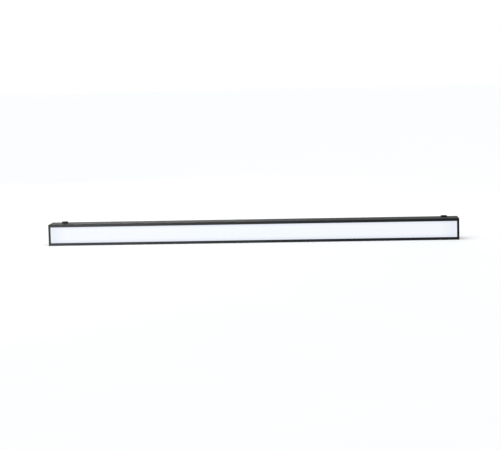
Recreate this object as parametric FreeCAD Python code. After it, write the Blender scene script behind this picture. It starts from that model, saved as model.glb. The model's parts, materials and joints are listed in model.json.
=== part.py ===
"""LED strip batten: a channel with a full-length opal diffuser, LED boards, a driver, a rear rail and links.

Millimetres. X runs along the batten, -Y is the way the light goes, +Z is up.
The origin is the middle of the flat underside.
"""

import FreeCAD
import Part
import math
import os

Vec = FreeCAD.Vector
ALONG_X = (1, 0, 0)
ALONG_Y = (0, 1, 0)
ALONG_Z = (0, 0, 1)

# Overall
LENGTH = 1000.0
DEPTH = 62.0
HEIGHT = 52.0

# Housing extrusion
WALL = 2.2
EDGE_R = 1.2
LIP_T = 2.2
LIP_H = 6.6
WEB_FRONT = 0.0
WEB_T = 2.5
RIB_T = 1.5
RIB_H = 2.8
PORT_R = 3.0
PORT_HOLE_R = 1.45
PORT_STAND = 2.7
FRONT_PORT_Y = -19.0
REAR_PORT_Y = 17.8
LEDGE_T = 3.0
LEDGE_H = 5.0
HOLE_SKIN = 0.3
SPIGOT_SKIN = 0.5

# Fits and clearances
FIT = 0.2
SLIDE = 0.1
RUNNING = 0.05
APART = 0.3
CUT = 1.0
NEAR = 1e-6

# Diffuser
DIFFUSER_RECESS = 0.4
FLANGE_T = 1.6
FLANGE_H = 3.8
PLATEAU_EDGE = 1.8
CORNER_R = 0.5

# Ends
CAP_T = 5.0
CAP_EDGE = 0.8
GASKET_T = 0.5
GASKET_W = 6.2
GASKET_INSET = 0.4

# LED engine
BOARDS = 5
LEDS_PER_BOARD = 10
PAD_T = 0.5
BOARD_T = 1.6
BOARD_H = 35.0
BOARD_SCREW_INSET = 4.0
PAD_TRIM = 1.0
LED_W = 5.0
LED_T = 1.6
LED_WELL_R = 2.0
LED_WELL_D = 0.4
CELL_WALL = 1.0
CELL_GAP = 0.2
GRID_SETBACK = 0.8
LINK_LENGTH = 12.0
LINK_H = 6.0
LINK_T = 2.0
LINK_RISE = 7.0
LINK_ROOM = 1.0

# Small fasteners: shank radius, head radius, head height, and the six-sided recess in the head
M3_SHANK = 1.4
M3_HEAD = 2.6
M3_HEAD_T = 1.8
M3_SINK_T = 1.5
SCREW_CLEAR = 0.25
CAP_HEAD = 3.0
CAP_SINK_T = 2.0
CAP_SCREW_L = 20.0
RECESS_W = 2.0
PAN_RECESS_D = 1.0
SUNK_RECESS_D = 1.3
SCREW_SHORT = 1.0

# Driver
DRIVER_HALF = 205.0
DRIVER_H = 34.0
DRIVER_T = 1.6
STANDOFF_R = 3.0
STANDOFF_L = 6.0
STANDOFF_INSET = 7.0
STANDOFF_EDGE = 1.0
FEED_W = 14.0
FEED_H = 8.0
PART_SPARE = 1.0
BIG_CAN_R = 6.0
BIG_CAN_X = (-126.0, -112.0, -98.0)
BIG_CAN_RISE = 8.0
SMALL_CAN_R = 4.0
SMALL_CAN_X = (24.0, 36.0, 48.0, 60.0)
SMALL_CAN_DROP = 9.0
SMALL_CAN_SPARE = 3.0
COIL_X = (-152.0, 30.0, 52.0, 74.0)
COIL_RISE = 7.0
COIL_R = 7.5
COIL_HOLE_R = 3.0
COIL_T = 7.0
CORE_X = -58.0
CORE_W = 30.0
CORE_H = 24.0
CORE_LEG = 5.0
CORE_YOKE = 4.0
CORE_SPARE = 1.5
BOBBIN_R = 7.8
BOBBIN_SPARE = 2.5
CHIP_T = 1.6
CONTROL_X = 108.0
CONTROL_RISE = 7.0
CONTROL_W = 14.0
OUTPUT_X = (128.0, 140.0, 152.0, 164.0, 176.0)
OUTPUT_RISE = 6.0
OUTPUT_W = 10.0
OUTPUT_H = 6.0
SWITCH_X = (104.0, 116.0, 128.0, 140.0, 152.0, 164.0, 176.0)
SWITCH_DROP = 8.0
SWITCH_W = 7.0
SWITCH_H = 9.0
SWITCH_T = 4.0
HEADER_GAP = 12.0
HEADER_W = 10.0
HEADER_H = 9.0
HEADER_T = 8.0
HEADER_RISE = 6.0

# Rear cover
COVER_T = 2.0
REAR_CHAMBER = 19.3
COVER_SCREWS = 6
COVER_SCREW_END = 40.0

# Mounting rail and its nuts
RAIL_HALF = 220.0
RAIL_H = 20.0
RAIL_WALL = 2.0
RAIL_FLOOR = 1.8
RAIL_LIP = 1.8
RAIL_MOUTH = 8.4
RAIL_EDGE = 0.4
NUT_L = 24.0
NUT_X = 150.0
NUT_THREAD_R = 2.5
RAIL_SCREW_PITCH = 68.0

# Panel sockets
POWER_X = 340.0
DATA_X = 285.0
POWER_BORE_R = 9.0
DATA_BORE_R = 8.2
SOCKET_R = 11.5
SOCKET_W = 26.0
SOCKET_H = 31.0
FLANGE = 2.4
SOCKET_SEAL_T = 0.6
SOCKET_BEHIND = 14.3
SOCKET_FLOOR_T = 2.5
SOCKET_MOUTH_L = 5.8
SOCKET_STEP = 1.4
SOCKET_CORNER_R = 3.0
SOCKET_KEY_R = 1.0
CONTACT_L = 8.8
BLADE_RING_R = 4.5
BLADE_T = 1.2
BLADE_H = 4.0
BLADE_TURNS = (90, 210, 330)
PIN_RING_R = 4.8
PIN_R = 0.8
PIN_TURNS = (30, 150, 210, 270, 330)
SOCKET_SCREW_DX = 10.0
SOCKET_SCREW_DZ = 12.5
LEAD_R = 1.2
LEAD_BEND = 2.5
LEAD_RISE = 6.0
LEAD_DEEP = 3.0
LEAD_SHALLOW = 4.0
LEAD_TURN = 12.0

# Vent and earth
VENT_X = 400.0
VENT_R = 5.0
VENT_COLLAR_R = 7.0
VENT_COLLAR_T = 2.5
VENT_ROUND = 0.8
VENT_NECK_L = 3.0
VENT_SLOT_W = 0.8
VENT_SLOT_D = 1.0
VENT_NUT_W = 14.0
VENT_NUT_T = 2.5
EARTH_X = -240.0
EARTH_RISE = 14.0
EARTH_R = 2.0
EARTH_L = 12.0
WASHER_R = 4.5
WASHER_T = 1.0
EARTH_NUT_W = 7.0
EARTH_NUT_T = 3.2

# End links and their locks
KNOB_INSET = 34.5
KNOB_Y = 10.5
KNOB_R = 7.75
KNOB_H = 3.9
KNOB_ROUND = 1.4
KNOB_ROOF = 1.6
KNOB_SLOT_L = 10.0
KNOB_SLOT_W = 1.8
KNOB_SLOT_D = 1.2
KNOB_FLUTES = 12
KNOB_FLUTE_R = 1.2
KNOB_FLUTE_OUT = 0.6
STEM_R = 2.4
COLLAR_R = 3.5
COLLAR_T = 0.8
CAM_R = 3.0
CAM_OFFSET = 0.5
BUSH_R = 4.2
BUSH_L = 6.8
BUSH_SEAT_D = 2.0
SEAL_R = 0.5
BAR_W = 12.0
BAR_T = 4.5
BAR_L = 110.0
BAR_TRAVEL = 40.0
BAR_CORNER_R = 1.0
BAR_NOSE_BACK = 0.4
NOTCH_SPARE = 1.0
GUIDE_L = 114.0
GUIDE_ROOF = 1.7
GUIDE_FLOOR = 2.0
GUIDE_FOOT_H = 8.0
GUIDE_FOOT_T = 2.0
GUIDE_SCREW_SHARES = (0.2, 0.8)
GRIP_D = 3.0

# Worked out from the sizes above
FRONT = -DEPTH / 2
REAR = DEPTH / 2
HALF = LENGTH / 2
BODY_HALF = HALF - CAP_T - GASKET_T
MID_Z = HEIGHT / 2
TOP_INNER = HEIGHT - WALL
PORT_INSET = WALL + PORT_STAND
LIP_BACK = FRONT + LIP_T
FLANGE_FRONT = LIP_BACK + FIT
FLANGE_BACK = FLANGE_FRONT + FLANGE_T
RIB_FRONT = FLANGE_BACK + FIT
RIB_BACK = RIB_FRONT + RIB_T
GRID_FRONT = RIB_BACK + GRID_SETBACK
WEB_BACK = WEB_FRONT + WEB_T
PAD_FRONT = WEB_FRONT - PAD_T
BOARD_FRONT = PAD_FRONT - BOARD_T
COVER_FRONT = WEB_BACK + REAR_CHAMBER
COVER_BACK = COVER_FRONT + COVER_T
PORT_RISES = (PORT_INSET, HEIGHT - PORT_INSET)
BOARD_PITCH = 2 * BODY_HALF / BOARDS
LED_PITCH = BOARD_PITCH / LEDS_PER_BOARD
GRID_HALF_H = MID_Z - PORT_INSET - PORT_R - APART
DRIVER_FRONT = WEB_BACK + STANDOFF_L
DRIVER_BACK = DRIVER_FRONT + DRIVER_T
PART_DEPTH = COVER_FRONT - DRIVER_BACK
SOCKET_FACE = COVER_BACK + SOCKET_SEAL_T + FLANGE
SOCKET_BACK = COVER_FRONT - SOCKET_BEHIND + COVER_T
SOCKET_MOUTH = SOCKET_FACE - SOCKET_MOUTH_L
HEADER_X = DRIVER_HALF - STANDOFF_INSET - HEADER_GAP
KNOB_X = HALF - KNOB_INSET
KNOB_BASE = HEIGHT + APART
BAR_TOP = HEIGHT - PORT_INSET - PORT_R - APART - GUIDE_ROOF - SLIDE
BAR_BOTTOM = BAR_TOP - BAR_T
GUIDE_TOP = BAR_TOP + SLIDE + GUIDE_ROOF
GUIDE_BOTTOM = BAR_BOTTOM - SLIDE - GUIDE_FLOOR
GUIDE_BACK = 2 * KNOB_Y - WEB_BACK
COLLAR_Z = GUIDE_TOP + APART
BUSH_BOTTOM = HEIGHT - BUSH_L


def box(x0, x1, y0, y1, z0, z1):
    """A block between two corners, given as pairs along each axis."""
    return Part.makeBox(x1 - x0, y1 - y0, z1 - z0, Vec(x0, y0, z0))


def rod(x, y, z, axis, radius, length):
    """A cylinder that starts at x, y, z and runs its length along axis."""
    return Part.makeCylinder(radius, length, Vec(x, y, z), Vec(*axis))


def cone(x, y, z, axis, r0, r1, length):
    """A cone frustum from radius r0 at x, y, z to r1 at its far end."""
    return Part.makeCone(r0, r1, length, Vec(x, y, z), Vec(*axis))


def union(shapes):
    """All the shapes as one solid, with no seams left between flat faces."""
    joined = shapes[0].fuse(shapes[1:]) if len(shapes) > 1 else shapes[0]
    return joined.removeSplitter()


def edges_along(shape, axis):
    """The straight edges of a shape that run along axis."""
    way = Vec(*axis)
    found = []
    for edge in shape.Edges:
        if isinstance(edge.Curve, Part.Line):
            if abs(abs(edge.tangentAt(edge.FirstParameter).dot(way)) - 1) < NEAR:
                found.append(edge)
    return found


def rounded_block(x0, x1, y0, y1, z0, z1, axis, radius):
    """A block whose four edges along axis are rounded."""
    block = box(x0, x1, y0, y1, z0, z1)
    return block.makeFillet(radius, edges_along(block, axis))


def prism(points, x0, x1):
    """A polygon of (y, z) points carried from x0 to x1."""
    corners = [Vec(x0, y, z) for y, z in points]
    face = Part.Face(Part.makePolygon(corners + corners[:1]))
    return face.extrude(Vec(x1 - x0, 0, 0))


def hex_bar(x, y, z, axis, across, length):
    """A six-sided bar, across its flats, that starts at x, y, z and runs its length along axis."""
    way = Vec(*axis)
    up = Vec(*ALONG_X) if abs(way.z) > 0.5 else Vec(*ALONG_Z)
    aside = way.cross(up)
    corner_r = across / math.sqrt(3)
    ring = []
    for i in range(7):
        turn = math.radians(60 * i)
        ring.append(Vec(x, y, z) + up * (corner_r * math.sin(turn)) + aside * (corner_r * math.cos(turn)))
    return Part.Face(Part.makePolygon(ring)).extrude(way * length)


def pan_screw(x, y, z, shank_l):
    """A pan-head screw driven towards -Y, with its head's seat at y."""
    head = rod(x, y, z, ALONG_Y, M3_HEAD, M3_HEAD_T)
    head = head.makeFillet(M3_HEAD_T / 3, [edge_at(head, y + M3_HEAD_T)])
    shank = rod(x, y - shank_l, z, ALONG_Y, M3_SHANK, shank_l)
    recess = hex_bar(x, y + M3_HEAD_T - PAN_RECESS_D, z, ALONG_Y, RECESS_W, M3_HEAD_T)
    return union([head, shank]).cut(recess)


def edge_at(shape, y):
    """The circular edge of a shape that lies in the plane at y."""
    for edge in shape.Edges:
        if isinstance(edge.Curve, Part.Circle) and abs(edge.CenterOfMass.y - y) < NEAR:
            return edge
    raise ValueError("no round edge at that depth")


def sunk_screw(x, y, z, axis, head_r, sink_t, shank_l):
    """A countersunk screw: x, y, z is the middle of its flat head, and axis is the way it is driven."""
    head = cone(x, y, z, axis, head_r, M3_SHANK, sink_t)
    shank = rod(x, y, z, axis, M3_SHANK, shank_l)
    start = Vec(x, y, z) - Vec(*axis) * CUT
    recess = hex_bar(start.x, start.y, start.z, axis, RECESS_W, SUNK_RECESS_D + CUT)
    return union([head, shank]).cut(recess)


def sunk_hole(x, y, z, axis, head_r, sink_t, length):
    """The room that a countersunk screw needs in the piece that it holds."""
    sink = cone(x, y, z, axis, head_r + FIT, M3_SHANK + SCREW_CLEAR, sink_t)
    return sink.fuse(rod(x, y, z, axis, M3_SHANK + SCREW_CLEAR, length))


def board_middles():
    """The middle of each LED board along the batten."""
    return [(i + 0.5) * BOARD_PITCH - BODY_HALF for i in range(BOARDS)]


def board_screw_places():
    """Where the screws of all the LED boards go, as (x, z): in each board's outer cells."""
    reach = BOARD_PITCH / 2 - LED_PITCH / 2
    rise = BOARD_H / 2 - BOARD_SCREW_INSET
    return [
        (middle + end * reach, MID_Z + side * rise)
        for middle in board_middles()
        for end in (-1, 1)
        for side in (-1, 1)
    ]


def standoff_places():
    """Where the driver board's standoffs go, as (x, z)."""
    reach = DRIVER_HALF - STANDOFF_INSET
    rise = DRIVER_H / 2 - STANDOFF_R - STANDOFF_EDGE
    return [(x, MID_Z + side * rise) for x in (-reach, 0.0, reach) for side in (-1, 1)]


def cover_screw_places():
    """Where the rear cover's screws go, as (x, z), evenly along both long edges."""
    first = BODY_HALF - COVER_SCREW_END
    step = 2 * first / (COVER_SCREWS - 1)
    return [(-first + i * step, z) for i in range(COVER_SCREWS) for z in PORT_RISES]


def rail_screw_places():
    """Where the rail's screws go along its floor."""
    count = int(RAIL_HALF / RAIL_SCREW_PITCH)
    return [i * RAIL_SCREW_PITCH for i in range(-count, count + 1)]


def guide_screw_places(side):
    """Where the two screws of one link guide's foot go, along X."""
    return [side * (BODY_HALF - GUIDE_L * share) for share in GUIDE_SCREW_SHARES]


def guide_screw_rise():
    """The height of the screws in the link guides' feet."""
    return GUIDE_BOTTOM - GUIDE_FOOT_H / 2


def port_places():
    """The middles of the four screw ports, as (y, z)."""
    return [(y, z) for y in (FRONT_PORT_Y, REAR_PORT_Y) for z in PORT_RISES]


def sockets():
    """Each panel socket: its name, its place along X and the radius of its bore."""
    return [
        ("power_inlet_socket", -POWER_X, POWER_BORE_R),
        ("power_outlet_socket", POWER_X, POWER_BORE_R),
        ("data_inlet_socket", -DATA_X, DATA_BORE_R),
        ("data_outlet_socket", DATA_X, DATA_BORE_R),
    ]


def socket_screw_places():
    """Where the panel sockets' screws go, as (x, z): two at opposite corners of each flange."""
    return [
        (x + side * SOCKET_SCREW_DX, MID_Z + side * SOCKET_SCREW_DZ)
        for _, x, _ in sockets()
        for side in (-1, 1)
    ]


def housing_extrusion():
    """The channel: lips and a window in front, a web, screw ports, and wings around the rear recess."""
    beyond = BODY_HALF + CUT
    body = rounded_block(-BODY_HALF, BODY_HALF, FRONT, REAR, 0, HEIGHT, ALONG_X, EDGE_R)
    rooms = [
        box(-beyond, beyond, LIP_BACK, WEB_FRONT, WALL, TOP_INNER),
        box(-beyond, beyond, FRONT - CUT, LIP_BACK + CUT, LIP_H, HEIGHT - LIP_H),
        box(-beyond, beyond, WEB_BACK, REAR + CUT, WALL, TOP_INNER),
    ]
    body = body.cut(rooms)
    added = []
    for low in (True, False):
        z0 = WALL if low else TOP_INNER - RIB_H
        added.append(box(-BODY_HALF, BODY_HALF, RIB_FRONT, RIB_BACK, z0, z0 + RIB_H))
        z0 = WALL if low else TOP_INNER - LEDGE_H
        added.append(box(-BODY_HALF, BODY_HALF, COVER_FRONT - LEDGE_T, COVER_FRONT, z0, z0 + LEDGE_H))
    for y, z in port_places():
        port = rod(-BODY_HALF, y, z, ALONG_X, PORT_R, 2 * BODY_HALF)
        wall_side = -1 if z < MID_Z else 1
        z0, z1 = sorted((z, z + wall_side * (PORT_INSET - WALL / 2)))
        stem = box(-BODY_HALF, BODY_HALF, y - PORT_R / 2, y + PORT_R / 2, z0, z1)
        added += [port, stem]
    body = body.fuse(added).removeSplitter()
    return body.cut(housing_holes()).removeSplitter()


def housing_holes():
    """Every hole in the housing, each from the piece that goes in it."""
    past = BODY_HALF + CUT
    through = WEB_T + 2 * CUT
    blind = WEB_FRONT + HOLE_SKIN
    holes = [rod(-past, y, z, ALONG_X, PORT_HOLE_R, 2 * past) for y, z in port_places()]
    for x, z in board_screw_places():
        holes.append(rod(x, WEB_FRONT - CUT, z, ALONG_Y, M3_SHANK + RUNNING, through))
    for x, z in standoff_places():
        holes.append(rod(x, blind, z, ALONG_Y, STANDOFF_R / 2 + RUNNING, WEB_T))
    for x, z in cover_screw_places():
        holes.append(rod(x, REAR_PORT_Y, z, ALONG_Y, M3_SHANK + RUNNING, COVER_FRONT - REAR_PORT_Y + CUT))
    for side in (-1, 1):
        for x in guide_screw_places(side):
            holes.append(rod(x, blind, guide_screw_rise(), ALONG_Y, M3_SHANK + RUNNING, WEB_T))
        holes.append(rod(side * KNOB_X, KNOB_Y, TOP_INNER - CUT, ALONG_Z, BUSH_R, WALL + 2 * CUT))
    holes.append(feed_window(WEB_FRONT - CUT, WEB_BACK + CUT))
    holes.append(rod(EARTH_X, blind, EARTH_RISE, ALONG_Y, EARTH_R + RUNNING, WEB_T))
    return holes


def feed_window(y0, y1):
    """The room that the feed connector needs to pass, between y0 and y1."""
    half_w = FEED_W / 2 + FIT
    half_h = FEED_H / 2 + FIT
    return box(-half_w, half_w, y0, y1, MID_Z - half_h, MID_Z + half_h)


def front_diffuser():
    """A top-hat strip: flanges behind the housing's lips, and a plateau that fills the window."""
    face = FRONT + DIFFUSER_RECESS
    edge = LIP_H + FIT
    low = edge - FLANGE_H
    half_outline = [
        (face, edge),
        (FLANGE_FRONT, edge),
        (FLANGE_FRONT, low),
        (FLANGE_BACK, low),
        (FLANGE_BACK, edge + PLATEAU_EDGE),
        (FLANGE_FRONT, edge + PLATEAU_EDGE),
    ]
    outline = half_outline[::-1] + [(y, HEIGHT - z) for y, z in half_outline]
    strip = prism(outline, -BODY_HALF + FIT, BODY_HALF - FIT)
    rims = [e for e in edges_along(strip, ALONG_X) if abs(e.CenterOfMass.y - face) < NEAR]
    return strip.makeFillet(CORNER_R, rims)


def link_window(x0, x1):
    """The room that the link bar needs to pass, between x0 and x1."""
    half = BAR_W / 2 + SLIDE
    return box(x0, x1, KNOB_Y - half, KNOB_Y + half, BAR_BOTTOM - SLIDE, BAR_TOP + SLIDE)


def end_cap(side):
    """A flat cap with the housing's outline, four countersunk holes and the link's window."""
    x0, x1 = sorted((side * (HALF - CAP_T), side * HALF))
    cap = rounded_block(x0, x1, FRONT, REAR, 0, HEIGHT, ALONG_X, EDGE_R)
    outer = [e for e in cap.Edges if abs(e.CenterOfMass.x - side * HALF) < NEAR]
    cap = cap.makeChamfer(CAP_EDGE, outer)
    cuts = [link_window(x0 - CUT, x1 + CUT)]
    for y, z in port_places():
        cuts.append(sunk_hole(side * HALF, y, z, (-side, 0, 0), CAP_HEAD, CAP_SINK_T, CAP_T + CUT))
    grip = KNOB_Y - BAR_W / 4
    cuts.append(box(x0 - CUT, x1 + CUT, grip, grip + BAR_W / 2, BAR_BOTTOM - GRIP_D, BAR_BOTTOM))
    return cap.cut(cuts)


def end_gasket(side):
    """A thin ring between the housing's end and its cap."""
    x0, x1 = sorted((side * BODY_HALF, side * (BODY_HALF + GASKET_T)))
    inset = GASKET_INSET
    ring = rounded_block(x0, x1, FRONT + inset, REAR - inset, inset, HEIGHT - inset, ALONG_X, EDGE_R)
    inner = inset + GASKET_W
    cuts = [box(x0 - CUT, x1 + CUT, FRONT + inner, REAR - inner, inner, HEIGHT - inner)]
    for y, z in port_places():
        cuts.append(rod(x0 - CUT, y, z, ALONG_X, M3_SHANK + SCREW_CLEAR, GASKET_T + 2 * CUT))
    cuts.append(link_window(x0 - CUT, x1 + CUT))
    return ring.cut(cuts)


def end_cap_screws():
    """Four screws at each end, driven into the housing's ports."""
    return [
        sunk_screw(side * (HALF - FIT), y, z, (-side, 0, 0), CAP_HEAD, CAP_SINK_T, CAP_SCREW_L)
        for side in (-1, 1)
        for y, z in port_places()
    ]


def board_outline(middle, y0, y1, trim):
    """A slab as long as one LED board, less the trim at every edge, with its screw holes."""
    half_x = BOARD_PITCH / 2 - CELL_GAP - trim
    half_z = BOARD_H / 2 - trim
    slab = box(middle - half_x, middle + half_x, y0, y1, MID_Z - half_z, MID_Z + half_z)
    near = [(x, z) for x, z in board_screw_places() if abs(x - middle) < BOARD_PITCH / 2]
    depth = y1 - y0 + 2 * CUT
    return slab.cut([rod(x, y0 - CUT, z, ALONG_Y, M3_SHANK + SCREW_CLEAR, depth) for x, z in near])


def led_board(middle):
    """One LED board."""
    return board_outline(middle, BOARD_FRONT, PAD_FRONT, 0.0)


def thermal_pads():
    """One heat-conducting pad behind each LED board, open where the feed connector passes."""
    feed = feed_window(PAD_FRONT - CUT, WEB_FRONT + CUT)
    return [board_outline(middle, PAD_FRONT, WEB_FRONT, PAD_TRIM).cut(feed) for middle in board_middles()]


def led_places(middle):
    """The middles of one board's LEDs along X."""
    first = middle - BOARD_PITCH / 2 + LED_PITCH / 2
    return [first + i * LED_PITCH for i in range(LEDS_PER_BOARD)]


def led_chips(middle):
    """Ten LED packages, each with a round emitting well."""
    chips = []
    half = LED_W / 2
    face = BOARD_FRONT - LED_T
    for x in led_places(middle):
        package = box(x - half, x + half, face, BOARD_FRONT, MID_Z - half, MID_Z + half)
        chips.append(package.cut(rod(x, face - CUT, MID_Z, ALONG_Y, LED_WELL_R, CUT + LED_WELL_D)))
    return chips


def cell_grid(middle):
    """A white grid with one mixing cell for each LED, notched for the links between boards."""
    x0 = middle - BOARD_PITCH / 2 + CELL_GAP
    x1 = middle + BOARD_PITCH / 2 - CELL_GAP
    z0 = MID_Z - GRID_HALF_H
    z1 = MID_Z + GRID_HALF_H
    grid = box(x0, x1, GRID_FRONT, BOARD_FRONT, z0, z1)
    cuts = []
    half = (LED_PITCH - CELL_WALL) / 2
    for x in led_places(middle):
        left = max(x - half, x0 + CELL_WALL)
        right = min(x + half, x1 - CELL_WALL)
        cuts.append(box(left, right, GRID_FRONT - CUT, BOARD_FRONT + CUT, z0 + CELL_WALL, z1 - CELL_WALL))
    notch_z = MID_Z - LINK_RISE
    notch_y = BOARD_FRONT - LINK_T - LINK_ROOM
    reach = LINK_LENGTH / 2 + LINK_ROOM
    half_h = LINK_H / 2 + LINK_ROOM
    for x in (x0, x1):
        cuts.append(box(x - reach, x + reach, notch_y, WEB_FRONT, notch_z - half_h, notch_z + half_h))
    return grid.cut(cuts)


def board_links():
    """A small bridge across each joint between two LED boards."""
    links = []
    z = MID_Z - LINK_RISE
    half = LINK_LENGTH / 2
    half_h = LINK_H / 2
    for left in board_middles()[:-1]:
        x = left + BOARD_PITCH / 2
        links.append(box(x - half, x + half, BOARD_FRONT - LINK_T, BOARD_FRONT, z - half_h, z + half_h))
    return links


def board_screws():
    """The LED boards' screws, driven back into the web."""
    screws = []
    top = BOARD_FRONT - M3_HEAD_T
    for x, z in board_screw_places():
        head = rod(x, top, z, ALONG_Y, M3_HEAD, M3_HEAD_T)
        shank = rod(x, BOARD_FRONT, z, ALONG_Y, M3_SHANK, WEB_BACK - BOARD_FRONT - FIT)
        recess = hex_bar(x, top - CUT, z, ALONG_Y, RECESS_W, CUT + PAN_RECESS_D)
        screws.append(union([head, shank]).cut(recess))
    return screws


def driver_board():
    """The long board in the rear chamber, on standoffs."""
    half_h = DRIVER_H / 2
    board = box(-DRIVER_HALF, DRIVER_HALF, DRIVER_FRONT, DRIVER_BACK, MID_Z - half_h, MID_Z + half_h)
    depth = DRIVER_T + 2 * CUT
    hole_r = M3_SHANK + SCREW_CLEAR
    return board.cut([rod(x, DRIVER_FRONT - CUT, z, ALONG_Y, hole_r, depth) for x, z in standoff_places()])


def driver_standoffs():
    """Pillars pressed into the web that hold the driver board."""
    pillars = []
    for x, z in standoff_places():
        pillar = rod(x, WEB_BACK, z, ALONG_Y, STANDOFF_R, STANDOFF_L)
        spigot = rod(x, WEB_FRONT + SPIGOT_SKIN, z, ALONG_Y, STANDOFF_R / 2, WEB_T)
        bore = rod(x, WEB_BACK + SCREW_SHORT, z, ALONG_Y, M3_SHANK + RUNNING, STANDOFF_L)
        pillars.append(union([pillar, spigot]).cut(bore))
    return pillars


def driver_screws():
    """The screws that hold the driver board to its standoffs."""
    length = DRIVER_T + STANDOFF_L - 2 * SCREW_SHORT
    return [pan_screw(x, DRIVER_BACK, z, length) for x, z in standoff_places()]


def on_board(x, z, width, height, depth):
    """A block part that stands on the driver board's rear face."""
    return box(x - width / 2, x + width / 2, DRIVER_BACK, DRIVER_BACK + depth, z - height / 2, z + height / 2)


def driver_capacitors():
    """Six large smoothing capacitors in two rows, and four small ones."""
    tall = PART_DEPTH - PART_SPARE
    short = PART_DEPTH - SMALL_CAN_SPARE
    cans = []
    for x in BIG_CAN_X:
        for side in (-1, 1):
            cans.append(rod(x, DRIVER_BACK, MID_Z + side * BIG_CAN_RISE, ALONG_Y, BIG_CAN_R, tall))
    for x in SMALL_CAN_X:
        cans.append(rod(x, DRIVER_BACK, MID_Z - SMALL_CAN_DROP, ALONG_Y, SMALL_CAN_R, short))
    return cans


def driver_inductors():
    """A mains choke and three output coils, each a ring around a core."""
    coils = []
    z = MID_Z + COIL_RISE
    for x in COIL_X:
        ring = rod(x, DRIVER_BACK, z, ALONG_Y, COIL_R, COIL_T)
        coils.append(ring.cut(rod(x, DRIVER_BACK - CUT, z, ALONG_Y, COIL_HOLE_R, COIL_T + 2 * CUT)))
    return coils


def driver_transformer():
    """The wound transformer: a bobbin between two core halves."""
    core = on_board(CORE_X, MID_Z, CORE_W, CORE_H, PART_DEPTH - CORE_SPARE)
    half_w = CORE_W / 2 - CORE_LEG
    half_h = CORE_H / 2 - CORE_YOKE
    window = box(
        CORE_X - half_w, CORE_X + half_w, DRIVER_BACK - CUT, COVER_FRONT, MID_Z - half_h, MID_Z + half_h
    )
    bobbin = rod(CORE_X, DRIVER_BACK, MID_Z, ALONG_Y, BOBBIN_R, PART_DEPTH - BOBBIN_SPARE)
    return [core.cut(window), bobbin]


def driver_chips():
    """The control chip, five output drivers and a row of power transistors."""
    chips = [on_board(CONTROL_X, MID_Z + CONTROL_RISE, CONTROL_W, CONTROL_W, CHIP_T)]
    chips += [on_board(x, MID_Z + OUTPUT_RISE, OUTPUT_W, OUTPUT_H, CHIP_T) for x in OUTPUT_X]
    chips += [on_board(x, MID_Z - SWITCH_DROP, SWITCH_W, SWITCH_H, SWITCH_T) for x in SWITCH_X]
    return chips


def driver_headers():
    """The plug headers for the inner leads, at both ends of the driver board."""
    return [
        on_board(side * HEADER_X, MID_Z + rise, HEADER_W, HEADER_H, HEADER_T)
        for side in (-1, 1)
        for rise in (-HEADER_RISE, HEADER_RISE)
    ]


def feed_connector():
    """The connector that joins the driver board to the LED boards through the web."""
    half = FEED_W / 2
    return box(-half, half, PAD_FRONT, DRIVER_FRONT, MID_Z - FEED_H / 2, MID_Z + FEED_H / 2)


def rear_cover():
    """The flat cover of the rear chamber, bored for the sockets, the rail and the vent."""
    edge = WALL + FIT
    cover = box(-BODY_HALF + FIT, BODY_HALF - FIT, COVER_FRONT, COVER_BACK, edge, HEIGHT - edge)
    start = COVER_FRONT - CUT
    depth = COVER_T + 2 * CUT
    cuts = []
    for x, z in cover_screw_places():
        cuts.append(sunk_hole(x, COVER_BACK, z, (0, -1, 0), M3_HEAD, M3_SINK_T, COVER_T + CUT))
    for _, x, _ in sockets():
        cuts.append(rod(x, start, MID_Z, ALONG_Y, SOCKET_R + FIT, depth))
    for x, z in socket_screw_places() + [(x, MID_Z) for x in rail_screw_places()]:
        cuts.append(rod(x, start, z, ALONG_Y, M3_SHANK + RUNNING, depth))
    cuts.append(rod(VENT_X, start, MID_Z, ALONG_Y, VENT_R + RUNNING, depth))
    return cover.cut(cuts)


def rear_cover_screws():
    """Countersunk screws along both long edges of the rear cover."""
    length = COVER_BACK - REAR_PORT_Y - SCREW_SHORT
    return [
        sunk_screw(x, COVER_BACK - FIT, z, (0, -1, 0), M3_HEAD, M3_SINK_T, length)
        for x, z in cover_screw_places()
    ]


def mounting_rail():
    """A T-slot rail on the rear cover, open to the rear and at both ends."""
    half_h = RAIL_H / 2
    floor = COVER_BACK + RAIL_FLOOR
    rail = box(-RAIL_HALF, RAIL_HALF, COVER_BACK, REAR, MID_Z - half_h, MID_Z + half_h)
    outer = [e for e in edges_along(rail, ALONG_X) if abs(e.CenterOfMass.y - REAR) < NEAR]
    rail = rail.makeChamfer(RAIL_EDGE, outer)
    beyond = RAIL_HALF + CUT
    inner = half_h - RAIL_WALL
    mouth = RAIL_MOUTH / 2
    cuts = [
        box(-beyond, beyond, floor, REAR - RAIL_LIP, MID_Z - inner, MID_Z + inner),
        box(-beyond, beyond, REAR - RAIL_LIP - CUT, REAR + CUT, MID_Z - mouth, MID_Z + mouth),
    ]
    for x in rail_screw_places():
        cuts.append(sunk_hole(x, floor, MID_Z, (0, -1, 0), M3_HEAD, M3_SINK_T, RAIL_FLOOR + CUT))
    return rail.cut(cuts)


def rail_screws():
    """Countersunk screws that hold the rail to the rear cover."""
    top = COVER_BACK + RAIL_FLOOR - FIT
    length = RAIL_FLOOR + COVER_T
    return [
        sunk_screw(x, top, MID_Z, (0, -1, 0), M3_HEAD, M3_SINK_T, length)
        for x in rail_screw_places()
    ]


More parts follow.
